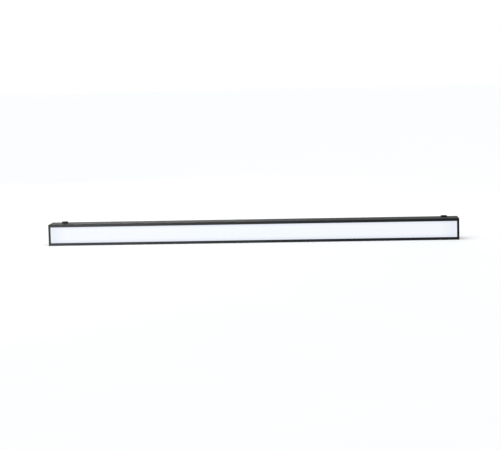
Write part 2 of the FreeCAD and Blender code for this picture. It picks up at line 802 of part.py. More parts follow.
def rail_nut(side):
    """A T-shaped nut that slides in the rail, with a threaded hole for a bracket."""
    x0 = side * NUT_X - NUT_L / 2
    x1 = x0 + NUT_L
    wide = RAIL_H / 2 - RAIL_WALL - APART
    narrow = RAIL_MOUTH / 2 - APART
    floor = COVER_BACK + RAIL_FLOOR + APART
    base = box(x0, x1, floor, REAR - RAIL_LIP - APART, MID_Z - wide, MID_Z + wide)
    neck = box(x0, x1, floor, REAR - APART, MID_Z - narrow, MID_Z + narrow)
    thread = rod(side * NUT_X, floor - CUT, MID_Z, ALONG_Y, NUT_THREAD_R, DEPTH)
    return union([base, neck]).cut(thread)


def panel_socket(x, bore_r):
    """A flanged socket: a keyed round mouth, and behind it a narrower chamber for the contacts."""
    y0 = COVER_BACK + SOCKET_SEAL_T
    half_w = SOCKET_W / 2
    half_h = SOCKET_H / 2
    flange = rounded_block(
        x - half_w, x + half_w, y0, SOCKET_FACE, MID_Z - half_h, MID_Z + half_h, ALONG_Y, SOCKET_CORNER_R
    )
    barrel = rod(x, SOCKET_BACK, MID_Z, ALONG_Y, SOCKET_R, SOCKET_FACE - SOCKET_BACK)
    cuts = [
        rod(x, SOCKET_MOUTH, MID_Z, ALONG_Y, bore_r, SOCKET_MOUTH_L + CUT),
        rod(x, SOCKET_BACK + SOCKET_FLOOR_T, MID_Z, ALONG_Y, bore_r - SOCKET_STEP, DEPTH),
        rod(x, SOCKET_MOUTH, MID_Z + bore_r, ALONG_Y, SOCKET_KEY_R, SOCKET_MOUTH_L + CUT),
    ]
    return union([flange, barrel]).cut(cuts + socket_screw_holes(x, y0 - CUT, FLANGE + 2 * CUT))


def socket_screw_holes(x, y, depth):
    """The clearance holes of the two screws of the socket at x, from y along their depth."""
    holes = []
    for side in (-1, 1):
        z = MID_Z + side * SOCKET_SCREW_DZ
        holes.append(rod(x + side * SOCKET_SCREW_DX, y, z, ALONG_Y, M3_SHANK + SCREW_CLEAR, depth))
    return holes


def socket_contacts():
    """Three flat blades in each power socket and five round pins in each data socket."""
    floor = SOCKET_BACK + SOCKET_FLOOR_T
    contacts = []
    tip = floor + CONTACT_L
    half_t = BLADE_T / 2
    half_h = BLADE_H / 2
    for name, x, _ in sockets():
        power = name.startswith("power")
        ring_r = BLADE_RING_R if power else PIN_RING_R
        for turn in BLADE_TURNS if power else PIN_TURNS:
            cx = x + ring_r * math.cos(math.radians(turn))
            cz = MID_Z + ring_r * math.sin(math.radians(turn))
            if power:
                contacts.append(box(cx - half_t, cx + half_t, floor, tip, cz - half_h, cz + half_h))
            else:
                contacts.append(rod(cx, floor, cz, ALONG_Y, PIN_R, CONTACT_L))
    return contacts


def socket_gaskets():
    """A thin seal under each socket's flange."""
    seals = []
    half_w = SOCKET_W / 2
    half_h = SOCKET_H / 2
    start = COVER_BACK - CUT
    depth = SOCKET_SEAL_T + 2 * CUT
    top = COVER_BACK + SOCKET_SEAL_T
    for _, x, _ in sockets():
        seal = box(x - half_w, x + half_w, COVER_BACK, top, MID_Z - half_h, MID_Z + half_h)
        bore = rod(x, start, MID_Z, ALONG_Y, SOCKET_R + FIT, depth)
        seals.append(seal.cut([bore] + socket_screw_holes(x, start, depth)))
    return seals


def socket_screws():
    """Two pan-head screws through each socket's flange."""
    length = FLANGE + SOCKET_SEAL_T + COVER_T
    return [pan_screw(x, SOCKET_FACE, z, length) for x, z in socket_screw_places()]


def lead(points, radius, bend):
    """A round lead along straight runs joined by tangent arcs of one bend radius."""
    corners = [Vec(*p) for p in points]
    edges = []
    start = corners[0]
    for before, corner, after in zip(corners, corners[1:], corners[2:]):
        way_in = (corner - before).normalize()
        way_out = (after - corner).normalize()
        a = corner - way_in * bend
        b = corner + way_out * bend
        inward = (way_out - way_in).normalize()
        middle = corner + inward * bend * (math.sqrt(2) - 1)
        edges.append(Part.LineSegment(start, a).toShape())
        edges.append(Part.Arc(a, middle, b).toShape())
        start = b
    edges.append(Part.LineSegment(start, corners[-1]).toShape())
    first = (corners[1] - corners[0]).normalize()
    ring = Part.Wire([Part.Circle(corners[0], first, radius).toShape()])
    return Part.Wire(edges).makePipeShell([ring], True, False)


def inner_leads():
    """One jacketed lead from the back of each socket to its header on the driver board."""
    header = HEADER_X + HEADER_W / 2
    turn = DRIVER_HALF + LEAD_TURN
    deep = WEB_BACK + LEAD_DEEP
    shallow = DRIVER_BACK + LEAD_SHALLOW
    leads = []
    for name, x, _ in sockets():
        side = -1 if x < 0 else 1
        z = MID_Z + (-LEAD_RISE if name.startswith("power") else LEAD_RISE)
        points = [
            (x, SOCKET_BACK, z),
            (x, deep, z),
            (side * turn, deep, z),
            (side * turn, shallow, z),
            (side * header, shallow, z),
        ]
        leads.append(lead(points, LEAD_R, LEAD_BEND))
    return leads


def vent_plug():
    """A breather plug in the rear cover, which lets air in and keeps water out."""
    top = COVER_BACK + VENT_COLLAR_T
    collar = rod(VENT_X, COVER_BACK, MID_Z, ALONG_Y, VENT_COLLAR_R, VENT_COLLAR_T)
    collar = collar.makeFillet(VENT_ROUND, [edge_at(collar, top)])
    neck = rod(VENT_X, COVER_FRONT - VENT_NECK_L, MID_Z, ALONG_Y, VENT_R, COVER_T + VENT_NECK_L)
    half_w = VENT_SLOT_W / 2
    low = top - VENT_SLOT_D
    slots = []
    for turn in (0, 60, 120):
        slot = box(VENT_X - VENT_R, VENT_X + VENT_R, low, top + CUT, MID_Z - half_w, MID_Z + half_w)
        slot.rotate(Vec(VENT_X, 0, MID_Z), Vec(*ALONG_Y), turn)
        slots.append(slot)
    return union([collar, neck]).cut(slots)


def hex_nut(x, y, z, across, thickness, hole_r):
    """A six-sided nut with its axis along Y, from y outwards."""
    nut = hex_bar(x, y, z, ALONG_Y, across, thickness)
    return nut.cut(rod(x, y - CUT, z, ALONG_Y, hole_r, thickness + 2 * CUT))


def vent_nut():
    """The nut that holds the breather plug from inside."""
    return hex_nut(VENT_X, COVER_FRONT - VENT_NUT_T, MID_Z, VENT_NUT_W, VENT_NUT_T, VENT_R + RUNNING)


def earth_stud():
    """The earth stud in the web with its washer and nut."""
    hole_r = EARTH_R + RUNNING
    stud = rod(EARTH_X, WEB_FRONT + SPIGOT_SKIN, EARTH_RISE, ALONG_Y, EARTH_R, EARTH_L)
    washer = rod(EARTH_X, WEB_BACK, EARTH_RISE, ALONG_Y, WASHER_R, WASHER_T)
    washer = washer.cut(rod(EARTH_X, WEB_BACK - CUT, EARTH_RISE, ALONG_Y, hole_r, WASHER_T + 2 * CUT))
    nut = hex_nut(EARTH_X, WEB_BACK + WASHER_T, EARTH_RISE, EARTH_NUT_W, EARTH_NUT_T, hole_r)
    return [stud, washer, nut]


def link_guide(side):
    """A square sleeve on the web that carries the link bar, with a foot for its screws."""
    x0, x1 = sorted((side * BODY_HALF, side * (BODY_HALF - GUIDE_L)))
    foot_back = WEB_BACK + GUIDE_FOOT_T
    cam_room = CAM_R + CAM_OFFSET + FIT
    sleeve = box(x0, x1, WEB_BACK, GUIDE_BACK, GUIDE_BOTTOM, GUIDE_TOP)
    foot = box(x0, x1, WEB_BACK, foot_back, GUIDE_BOTTOM - GUIDE_FOOT_H, GUIDE_BOTTOM)
    cuts = [link_window(x0 - CUT, x1 + CUT)]
    cuts.append(rod(side * KNOB_X, KNOB_Y, BAR_TOP - CUT, ALONG_Z, cam_room, GUIDE_ROOF + 3 * CUT))
    depth = GUIDE_FOOT_T + 2 * CUT
    for x in guide_screw_places(side):
        cuts.append(rod(x, WEB_BACK - CUT, guide_screw_rise(), ALONG_Y, M3_SHANK + SCREW_CLEAR, depth))
    return union([sleeve, foot]).cut(cuts)


def link_guide_screws():
    """The screws that hold both guides to the web."""
    seat = WEB_BACK + GUIDE_FOOT_T
    return [
        pan_screw(x, seat, guide_screw_rise(), GUIDE_FOOT_T + WEB_T - SPIGOT_SKIN)
        for side in (-1, 1)
        for x in guide_screw_places(side)
    ]


def link_bar():
    """The bar that slides out of the left end: a nose notch for the far lock and a slot for its own."""
    nose = -HALF + BAR_NOSE_BACK
    half_w = BAR_W / 2
    bar = rounded_block(
        nose, nose + BAR_L, KNOB_Y - half_w, KNOB_Y + half_w, BAR_BOTTOM, BAR_TOP, ALONG_Z, BAR_CORNER_R
    )
    slot_r = CAM_R + CAM_OFFSET + SLIDE
    slot_start = -KNOB_X
    far_cam = BAR_TRAVEL - BAR_NOSE_BACK - KNOB_INSET
    notch_end = nose + far_cam + NOTCH_SPARE
    slot = bar_slot(slot_start, slot_start + BAR_TRAVEL, slot_r)
    notch = bar_slot(nose - slot_r, notch_end, slot_r)
    return bar.cut(slot).cut(notch)


def bar_slot(x0, x1, radius):
    """A round-ended slot through the link bar's thickness, between two centres along X."""
    z = BAR_BOTTOM - CUT
    height = BAR_T + 2 * CUT
    middle = box(x0, x1, KNOB_Y - radius, KNOB_Y + radius, z, z + height)
    return union([middle] + [rod(x, KNOB_Y, z, ALONG_Z, radius, height) for x in (x0, x1)])


def lock_knob(side):
    """A low round knob with a domed top, a fluted rim and a coin slot."""
    x = side * KNOB_X
    crown = KNOB_BASE + KNOB_H
    knob = rod(x, KNOB_Y, KNOB_BASE, ALONG_Z, KNOB_R, KNOB_H)
    rims = [e for e in knob.Edges if isinstance(e.Curve, Part.Circle)]
    knob = knob.makeFillet(KNOB_ROUND, [e for e in rims if abs(e.CenterOfMass.z - crown) < NEAR])
    start = KNOB_BASE - CUT
    half_l = KNOB_SLOT_L / 2
    half_w = KNOB_SLOT_W / 2
    cuts = [
        rod(x, KNOB_Y, start, ALONG_Z, STEM_R + RUNNING, CUT + KNOB_H - KNOB_ROOF),
        box(x - half_l, x + half_l, KNOB_Y - half_w, KNOB_Y + half_w, crown - KNOB_SLOT_D, crown + CUT),
    ]
    reach = KNOB_R + KNOB_FLUTE_OUT
    for i in range(KNOB_FLUTES):
        turn = 2 * math.pi * (i + 0.5) / KNOB_FLUTES
        y = KNOB_Y + reach * math.sin(turn)
        cuts.append(rod(x + reach * math.cos(turn), y, start, ALONG_Z, KNOB_FLUTE_R, KNOB_H + 2 * CUT))
    return knob.cut(cuts)


def lock_stem(side):
    """The steel stem under a knob, with a collar and an off-centre cam that grips the link bar."""
    x = side * KNOB_X
    cam_bottom = BAR_BOTTOM + SLIDE
    top = KNOB_BASE + KNOB_H - KNOB_ROOF - FIT
    shaft = rod(x, KNOB_Y, cam_bottom, ALONG_Z, STEM_R, top - cam_bottom)
    collar = rod(x, KNOB_Y, COLLAR_Z, ALONG_Z, COLLAR_R, COLLAR_T)
    cam = rod(x - CAM_OFFSET, KNOB_Y, cam_bottom, ALONG_Z, CAM_R, BAR_T - 2 * SLIDE)
    return union([shaft, collar, cam])


def lock_bushes():
    """A plain bush for each stem, pressed into the housing's top wall."""
    seat_r = STEM_R + 2 * SEAL_R + 2 * SLIDE
    seat_z = HEIGHT - BUSH_SEAT_D
    bushes = []
    for side in (-1, 1):
        x = side * KNOB_X
        bush = rod(x, KNOB_Y, BUSH_BOTTOM, ALONG_Z, BUSH_R, BUSH_L)
        bore = rod(x, KNOB_Y, BUSH_BOTTOM - CUT, ALONG_Z, STEM_R + RUNNING, BUSH_L + 2 * CUT)
        seat = rod(x, KNOB_Y, seat_z, ALONG_Z, seat_r, BUSH_SEAT_D + CUT)
        bushes.append(bush.cut([bore, seat]))
    return bushes


def lock_seals():
    """A rubber ring around each stem, in its bush's seat."""
    ring_r = STEM_R + SLIDE + SEAL_R
    rise = HEIGHT - BUSH_SEAT_D + SEAL_R + RUNNING
    return [Part.makeTorus(ring_r, SEAL_R, Vec(side * KNOB_X, KNOB_Y, rise)) for side in (-1, 1)]


def all_nodes():
    """Every piece, as (node name, solid or list of solids)."""
    nodes = [
        ("housing_extrusion", housing_extrusion()),
        ("front_diffuser", front_diffuser()),
        ("end_gaskets", [end_gasket(side) for side in (-1, 1)]),
        ("end_cap_screws", end_cap_screws()),
        ("thermal_pads", thermal_pads()),
        ("board_screws", board_screws()),
        ("board_links", board_links()),
        ("driver_board", driver_board()),
        ("driver_standoffs", driver_standoffs()),
        ("driver_screws", driver_screws()),
        ("driver_capacitors", driver_capacitors()),
        ("driver_inductors", driver_inductors()),
        ("driver_transformer", driver_transformer()),
        ("driver_chips", driver_chips()),
        ("driver_headers", driver_headers()),
        ("feed_connector", feed_connector()),
        ("rear_cover", rear_cover()),
        ("rear_cover_screws", rear_cover_screws()),
        ("mounting_rail", mounting_rail()),
        ("rail_screws", rail_screws()),
        ("socket_contacts", socket_contacts()),
        ("socket_gaskets", socket_gaskets()),
        ("socket_screws", socket_screws()),
        ("inner_leads", inner_leads()),
        ("vent_plug", vent_plug()),
        ("vent_nut", vent_nut()),
        ("earth_stud", earth_stud()),
        ("link_guide_screws", link_guide_screws()),
        ("link_bar", link_bar()),
        ("lock_bushes", lock_bushes()),
        ("lock_seals", lock_seals()),
    ]
    for name, x, bore_r in sockets():
        nodes.append((name, panel_socket(x, bore_r)))
    for number, middle in enumerate(board_middles(), 1):
        nodes.append((f"led_board_{number}", led_board(middle)))
        nodes.append((f"led_chips_{number}", led_chips(middle)))
        nodes.append((f"cell_grid_{number}", cell_grid(middle)))
    for word, side in (("left", -1), ("right", 1)):
        nodes.append((f"{word}_end_cap", end_cap(side)))
        nodes.append((f"{word}_rail_nut", rail_nut(side)))
        nodes.append((f"{word}_link_guide", link_guide(side)))
        nodes.append((f"{word}_lock_knob", lock_knob(side)))
        nodes.append((f"{word}_lock_stem", lock_stem(side)))
    return nodes


def main():
    """Writes one STEP file for each node."""
    os.makedirs("parts", exist_ok=True)
    for name, shape in all_nodes():
        whole = Part.makeCompound(shape) if isinstance(shape, list) else shape
        whole.exportStep(f"parts/{name}.step")


main()
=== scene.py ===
"""Finish and stage for a one metre LED strip batten, laid out as an add-on and run as a script."""

import json
import math

import bmesh
import bpy
import numpy as np
from mathutils import Matrix, Vector

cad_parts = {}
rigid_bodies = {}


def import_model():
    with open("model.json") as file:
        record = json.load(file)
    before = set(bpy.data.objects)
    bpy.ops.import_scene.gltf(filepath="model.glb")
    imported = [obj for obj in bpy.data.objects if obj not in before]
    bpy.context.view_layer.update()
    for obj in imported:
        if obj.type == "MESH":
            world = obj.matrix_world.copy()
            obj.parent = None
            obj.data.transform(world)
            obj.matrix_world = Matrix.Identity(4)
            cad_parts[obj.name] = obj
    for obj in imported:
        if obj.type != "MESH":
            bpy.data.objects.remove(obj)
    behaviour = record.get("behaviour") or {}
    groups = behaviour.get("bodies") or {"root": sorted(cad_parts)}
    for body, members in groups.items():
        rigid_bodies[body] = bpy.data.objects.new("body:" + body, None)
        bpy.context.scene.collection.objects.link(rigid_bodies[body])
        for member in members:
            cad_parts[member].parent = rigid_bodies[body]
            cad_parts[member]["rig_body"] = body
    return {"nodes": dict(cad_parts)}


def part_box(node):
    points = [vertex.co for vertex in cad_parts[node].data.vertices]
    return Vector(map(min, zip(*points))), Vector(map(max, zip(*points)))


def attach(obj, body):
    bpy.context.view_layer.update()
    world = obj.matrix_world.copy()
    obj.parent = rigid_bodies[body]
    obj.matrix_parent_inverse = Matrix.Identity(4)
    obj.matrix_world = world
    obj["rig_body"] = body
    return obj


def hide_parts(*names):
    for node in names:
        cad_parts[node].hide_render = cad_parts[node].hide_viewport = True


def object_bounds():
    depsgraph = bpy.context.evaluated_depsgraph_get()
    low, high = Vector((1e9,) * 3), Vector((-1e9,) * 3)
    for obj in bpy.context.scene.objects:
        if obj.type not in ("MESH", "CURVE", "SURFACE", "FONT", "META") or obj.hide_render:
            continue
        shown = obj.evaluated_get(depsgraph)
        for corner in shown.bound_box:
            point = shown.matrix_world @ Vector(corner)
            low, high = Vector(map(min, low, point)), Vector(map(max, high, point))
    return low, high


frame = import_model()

bl_info = {
    "name": "Strip Batten Finish",
    "version": (1, 0, 0),
    "blender": (4, 5, 0),
    "location": "View3D > Sidebar > Batten",
    "description": "Finishes and stages a one metre LED strip batten on its packed frame",
    "category": "Object",
}

CAD_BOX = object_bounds()
MM = 0.001
ROOT = "batten"
SEAM = 1e-6
SEAM_FINE = 1e-7
FLAT_WITHIN = 1.0
SURFACE_CREASE = 30.0
SHELL_CREASE = 35.0
BEVEL_FROM = 38.0
BEVEL_STEPS = 2
BEVEL_WELD = 2e-6
FULL_WEIGHT = 100
SIDES = ("left", "right")
SOCKETS = ("power_inlet_socket", "power_outlet_socket", "data_inlet_socket", "data_outlet_socket")
SMALL_METAL = {
    "end_cap_screws": "cap_fixings",
    "rear_cover_screws": "cover_fixings",
    "socket_screws": "flange_fixings",
    "rail_screws": "rail_fixings",
}


# ---- Mesh work -------------------------------------------------------------------------------------------------


def mesh_piece(name, points, faces, body, material):
    """A closed mesh from arrays of points and faces, merged, turned outwards, shaded and set on its body."""
    mesh = bpy.data.meshes.new(name)
    mesh.from_pydata(np.asarray(points, float).tolist(), [], faces)
    work = bmesh.new()
    work.from_mesh(mesh)
    bmesh.ops.remove_doubles(work, verts=work.verts, dist=SEAM_FINE)
    bmesh.ops.recalc_face_normals(work, faces=work.faces)
    work.to_mesh(mesh)
    work.free()
    return placed(name, mesh, body, material, SURFACE_CREASE)


def placed(name, mesh, body, material, crease):
    """An object for a mesh that already lies where it belongs, riding on a body with its finish.

    Edges that turn by more than the crease angle, in degrees, stay sharp.
    """
    piece = bpy.data.objects.new(name, mesh)
    bpy.context.scene.collection.objects.link(piece)
    mesh.materials.clear()
    mesh.materials.append(material)
    mesh.polygons.foreach_set("use_smooth", np.ones(len(mesh.polygons), bool))
    mesh.set_sharp_from_angle(angle=math.radians(crease))
    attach(piece, body)
    return piece


def grid_faces(rows, columns, around=True):
    """Quads between neighbouring rows and columns of a grid whose columns may close on themselves."""
    r = np.arange(rows - 1)[:, None]
    c = np.arange(columns if around else columns - 1)[None, :]
    n = (c + 1) % columns
    quads = np.stack([r * columns + c, r * columns + n, (r + 1) * columns + n, (r + 1) * columns + c], -1)
    return quads.reshape(-1, 4).tolist()


def turned(profile, turns, spread):
    """A surface of revolution: each (radius, height) pair of the profile is carried round Z in equal turns.

    spread(angle, radius, height) returns a new radius and height, to flute a rim or cut a slot.
    """
    profile = np.asarray(profile, float)
    angle = np.arange(turns) * (2 * np.pi / turns)
    a = np.broadcast_to(angle[None, :], (len(profile), turns))
    r = np.broadcast_to(profile[:, :1], a.shape)
    h = np.broadcast_to(profile[:, 1:], a.shape)
    r, h = spread(a, r, h)
    points = np.stack([r * np.cos(a), r * np.sin(a), h], -1).reshape(-1, 3)
    return points, grid_faces(len(profile), turns)


def arc(centre, radius, start, end, steps):
    """Points on a circle round centre, from the start angle to the end angle, both in degrees."""
    a = np.radians(np.linspace(start, end, steps))
    return np.stack([centre[0] + radius * np.cos(a), centre[1] + radius * np.sin(a)], -1)


def softened(node, name, material, width):
    """A copy of a CAD node: seams merged, sharp edges bevelled, slivers welded, and flat faces shaded dead flat."""
    source = frame["nodes"][node]
    mesh = source.data.copy()
    work = bmesh.new()
    work.from_mesh(mesh)
    bmesh.ops.remove_doubles(work, verts=work.verts, dist=SEAM)
    bmesh.ops.dissolve_limit(
        work, angle_limit=math.radians(FLAT_WITHIN), verts=work.verts, edges=work.edges,
        use_dissolve_boundaries=False,
    )
    work.to_mesh(mesh)
    work.free()
    piece = placed(name, mesh, source["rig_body"], material, SHELL_CREASE)
    bevel = piece.modifiers.new("soft_edges", "BEVEL")
    bevel.width = width
    bevel.segments = BEVEL_STEPS
    bevel.limit_method = "ANGLE"
    bevel.angle_limit = math.radians(BEVEL_FROM)
    bevel.use_clamp_overlap = True
    weld = piece.modifiers.new("seams", "WELD")
    weld.merge_threshold = BEVEL_WELD
    flat = piece.modifiers.new("flat_faces", "WEIGHTED_NORMAL")
    flat.weight = FULL_WEIGHT
    flat.keep_sharp = True
    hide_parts(node)
    return piece


# ---- Finishes --------------------------------------------------------------------------------------------------


class Finish:
    """A procedural material under construction: one Principled shader and the nodes that feed it."""

    def __init__(self, name, colour, roughness, metallic=0.0, specular=0.5):
        self.material = bpy.data.materials.new(name)
        self.material.use_nodes = True
        self.tree = self.material.node_tree
        self.shader = self.tree.nodes["Principled BSDF"]
        self.shader.inputs["Base Color"].default_value = (*colour, 1.0)
        self.shader.inputs["Roughness"].default_value = roughness
        self.shader.inputs["Metallic"].default_value = metallic
        self.shader.inputs["Specular IOR Level"].default_value = specular

    def node(self, kind, **settings):
        """A new node with its properties set."""
        made = self.tree.nodes.new(kind)
        for key, value in settings.items():
            setattr(made, key, value)
        return made

    def link(self, out, into):
        """Joins an output to an input."""
        self.tree.links.new(out, into)

    def place(self, scale=(1, 1, 1)):
        """Object coordinates in metres, stretched by scale."""
        where = self.node("ShaderNodeTexCoord")
        stretch = self.node("ShaderNodeMapping")
        stretch.inputs["Scale"].default_value = scale
        self.link(where.outputs["Object"], stretch.inputs["Vector"])
        return stretch.outputs["Vector"]

    def noise(self, scale, detail=3.0, stretch=(1, 1, 1), rough=0.5):
        """Fractal noise with a period of one metre over scale."""
        made = self.node("ShaderNodeTexNoise")
        made.inputs["Scale"].default_value = scale
        made.inputs["Detail"].default_value = detail
        made.inputs["Roughness"].default_value = rough
        self.link(self.place(stretch), made.inputs["Vector"])
        return made.outputs["Fac"]

    def cells(self, scale, stretch=(1, 1, 1)):
        """Distance to the nearest of many scattered points."""
        made = self.node("ShaderNodeTexVoronoi")
        made.inputs["Scale"].default_value = scale
        self.link(self.place(stretch), made.inputs["Vector"])
        return made.outputs["Distance"]

    def span(self, value, low, high, to_low, to_high, smooth=True):
        """Carries a value from one range to another, held at both ends."""
        made = self.node("ShaderNodeMapRange", interpolation_type="SMOOTHSTEP" if smooth else "LINEAR")
        for key, number in (("From Min", low), ("From Max", high), ("To Min", to_low), ("To Max", to_high)):
            made.inputs[key].default_value = number
        self.link(value, made.inputs["Value"])
        return made.outputs["Result"]

    def maths(self, operation, a, b=None):
        """One sum, of outputs or plain numbers."""
        made = self.node("ShaderNodeMath", operation=operation)
        for slot, value in ((0, a), (1, b)):
            if value is None:
                continue
            if isinstance(value, (int, float)):
                made.inputs[slot].default_value = value
            else:
                self.link(value, made.inputs[slot])
        return made.outputs[0]

    def mixed(self, share, a, b):
        """A colour between two, which may be outputs or plain colours."""
        made = self.node("ShaderNodeMix", data_type="RGBA")
        self.link(share, made.inputs["Factor"])
        for socket, value in ((made.inputs[6], a), (made.inputs[7], b)):
            if isinstance(value, tuple):
                socket.default_value = (*value, 1.0)
            else:
                self.link(value, socket)
        return made.outputs[2]

    def colour(self, out):
        """Feeds the base colour."""
        self.link(out, self.shader.inputs["Base Color"])

    def rough(self, out):
        """Feeds the roughness."""
        self.link(out, self.shader.inputs["Roughness"])

    def bump(self, height, depth, strength=1.0):
        """Raises the surface by height times depth in metres."""
        made = self.node("ShaderNodeBump")
        made.inputs["Distance"].default_value = depth
        made.inputs["Strength"].default_value = strength
        self.link(height, made.inputs["Height"])
        self.link(made.outputs["Normal"], self.shader.inputs["Normal"])


MAKERS = {}
FINISHES = {}


def maker(function):
    """Lists a make_ function under the name of its finish."""
    MAKERS[function.__name__.removeprefix("make_")] = function
    return function


def finish(name):
    """The finished material of that name, made on first use."""
    if name not in FINISHES:
        FINISHES[name] = MAKERS[name]().material
    return FINISHES[name]


def scaled(colour, by):
    """A colour made lighter or darker."""
    return tuple(min(1.0, channel * by) for channel in colour)


# Colour of the lighter long edges, partly wear and partly a painted highlight.
EDGE_WEAR_AND_HIGHLIGHT = (0.16, 0.16, 0.165)


def drawn_black(name, black, roughness, specular):
    """Drawn black aluminium: fine lines along the extrusion, soft clouds, and long edges lightened partly by worn
    patches and partly by a painted highlight.
    """
    made = Finish(name, black, roughness, 0.0, specular)
    lines = made.noise(1.0, 4.0, (3.0, 1400.0, 1400.0))
    clouds = made.noise(9.0, 3.0)
    drawn = made.mixed(made.span(clouds, 0.3, 0.7, 0.0, 1.0), scaled(black, 0.88), scaled(black, 1.14))
    where = made.node("ShaderNodeSeparateXYZ")
    made.link(made.place(), where.inputs["Vector"])
    half_depth = CAD_BOX[1][1]
    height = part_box("housing_extrusion")[1].z
    across = made.maths("SUBTRACT", half_depth, made.maths("ABSOLUTE", where.outputs["Y"]))
    rise = made.maths("ABSOLUTE", made.maths("SUBTRACT", where.outputs["Z"], height / 2))
    upright = made.maths("SUBTRACT", height / 2, rise)
    corner = made.maths("ADD", across, upright)
    # Lighter long edges: an even thin band that is a painted highlight, with patches of rubbed wear from noise on top.
    near = made.span(corner, 0.3 * MM, 0.9 * MM, 1.0, 0.0)
    rubbed = made.span(made.noise(1.0, 5.0, (60.0, 700.0, 700.0)), 0.45, 0.75, 0.06, 0.4)
    wear_and_highlight = made.maths("MULTIPLY", near, rubbed)
    made.colour(made.mixed(wear_and_highlight, drawn, EDGE_WEAR_AND_HIGHLIGHT))
    made.rough(made.span(lines, 0.25, 0.75, roughness - 0.05, roughness + 0.07))
    made.bump(lines, 0.02 * MM, 0.5)
    return made


@maker
def make_black_anodised():
    """The housing's own deep satin black."""
    props = bpy.context.scene.batten_finish
    black = tuple(props.housing_colour)
    return drawn_black("black_anodised", black, props.housing_roughness, props.housing_specular)


@maker
def make_rear_anodised():
    """The thinner, slightly lighter anodising of the rear cover."""
    props = bpy.context.scene.batten_finish
    return drawn_black("rear_anodised", tuple(props.rear_colour), 0.44, 0.4)


@maker
def make_rail_anodised():
    """The rail's finish, rubbed brighter by the nuts that slide in it."""
    props = bpy.context.scene.batten_finish
    return drawn_black("rail_anodised", scaled(tuple(props.rear_colour), 1.8), 0.36, 0.5)


@maker
def make_black_cap():
    """Bead-blasted black for the machined end caps, with a fine even grain."""
    props = bpy.context.scene.batten_finish
    black = scaled(tuple(props.housing_colour), 1.05)
    made = Finish("black_cap", black, props.housing_roughness, 0.0, props.housing_specular)
    grain = made.noise(2600.0, 2.0)
    clouds = made.noise(30.0, 3.0)
    made.colour(made.mixed(made.span(clouds, 0.3, 0.7, 0.0, 1.0), scaled(black, 0.9), scaled(black, 1.12)))
    made.rough(made.span(grain, 0.3, 0.7, props.housing_roughness, props.housing_roughness + 0.12))
    made.bump(grain, 0.03 * MM, 0.5)
    return made


END_SHARE = 0.7
EDGE_TINT = (1.0, 0.9, 0.35)


@maker
def make_opal():
    """Lit opal plastic: cool white, weaker and bluer by the lips and ends, rippled by the cells, with a satin skin."""
    props = bpy.context.scene.batten_finish
    base = tuple(props.opal_colour)
    made = Finish("opal", base, 0.65, 0.0, 0.03)
    half_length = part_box("front_diffuser")[1].x
    window_low, window_high = lip_edges()
    where = made.node("ShaderNodeSeparateXYZ")
    made.link(made.place(), where.inputs["Vector"])
    above = made.maths("SUBTRACT", where.outputs["Z"], window_low)
    below = made.maths("SUBTRACT", window_high, where.outputs["Z"])
    along = made.maths("SUBTRACT", half_length, made.maths("ABSOLUTE", where.outputs["X"]))
    fade = props.edge_fade
    by_lower = made.span(above, 0.0, props.lower_reach, 1.0 - fade, 1.0)
    by_upper = made.span(below, 0.0, props.edge_reach, 1.0 - fade, 1.0)
    by_end = made.span(along, 0.0, props.end_reach, 1.0 - END_SHARE * fade, 1.0)
    cell = 2 * half_length / (BOARD_COUNT * CELLS_PER_BOARD)
    beat = made.maths("COSINE", made.maths("MULTIPLY", where.outputs["X"], 2 * math.pi / cell))
    ripple = made.span(beat, -1.0, 1.0, 0.996, 1.004)
    by_lips = made.maths("MULTIPLY", by_lower, by_upper)
    level = made.maths("MULTIPLY", made.maths("MULTIPLY", by_lips, by_end), ripple)
    glow = tuple(props.glow_colour)
    edge = tuple(channel * (1.0 - fade * share) for channel, share in zip(glow, EDGE_TINT))
    lit = made.mixed(made.span(level, 1.0 - fade, 1.0, 0.0, 1.0, False), edge, glow)
    made.link(lit, made.shader.inputs["Emission Color"])
    made.shader.inputs["Emission Strength"].default_value = props.glow_strength
    mottled = made.span(made.noise(220.0, 3.0), 0.3, 0.7, 0.0, 1.0)
    made.colour(made.mixed(mottled, scaled(base, 0.98), base))
    made.bump(made.noise(1800.0, 2.0), 0.01 * MM, 0.4)
    return made


def black_moulding(name, dark, light, specular):
    """Moulded black plastic with a fine spark-eroded grain and lighter rubbed patches."""
    made = Finish(name, dark, 0.5, 0.0, specular)
    grain = made.cells(1500.0)
    rubbed = made.span(made.noise(120.0, 4.0), 0.5, 0.75, 0.0, 1.0)
    made.colour(made.mixed(rubbed, dark, light))
    made.rough(made.span(grain, 0.1, 0.7, 0.42, 0.6))
    made.bump(grain, 0.03 * MM, 0.5)
    return made


@maker
def make_black_plastic():
    """The sockets' and the breather's plastic."""
    return black_moulding("black_plastic", (0.011, 0.011, 0.012), (0.02, 0.02, 0.022), 0.35)


@maker
def make_knob_plastic():
    """The knobs' deeper, duller black."""
    return black_moulding("knob_plastic", (0.006, 0.006, 0.0065), (0.011, 0.011, 0.012), 0.12)


def metal(name, colour, roughness, stretch):
    """A bare metal with tool marks drawn out along one way."""
    made = Finish(name, colour, roughness, 1.0, 0.5)
    marks = made.noise(1.0, 4.0, stretch)
    made.colour(made.mixed(made.span(marks, 0.3, 0.7, 0.0, 1.0), scaled(colour, 0.85), scaled(colour, 1.08)))
    made.rough(made.span(marks, 0.3, 0.7, roughness - 0.08, roughness + 0.1))
    made.bump(marks, 0.02 * MM, 0.5)
    return made


@maker
def make_bright_steel():
    """Zinc-plated steel, brushed along the batten."""
    return metal("bright_steel", (0.56, 0.57, 0.6), 0.32, (60.0, 2200.0, 2200.0))


@maker
def make_brass():
    """Turned brass for contacts and bushes."""
    return metal("brass", (0.72, 0.5, 0.2), 0.3, (900.0, 900.0, 2500.0))


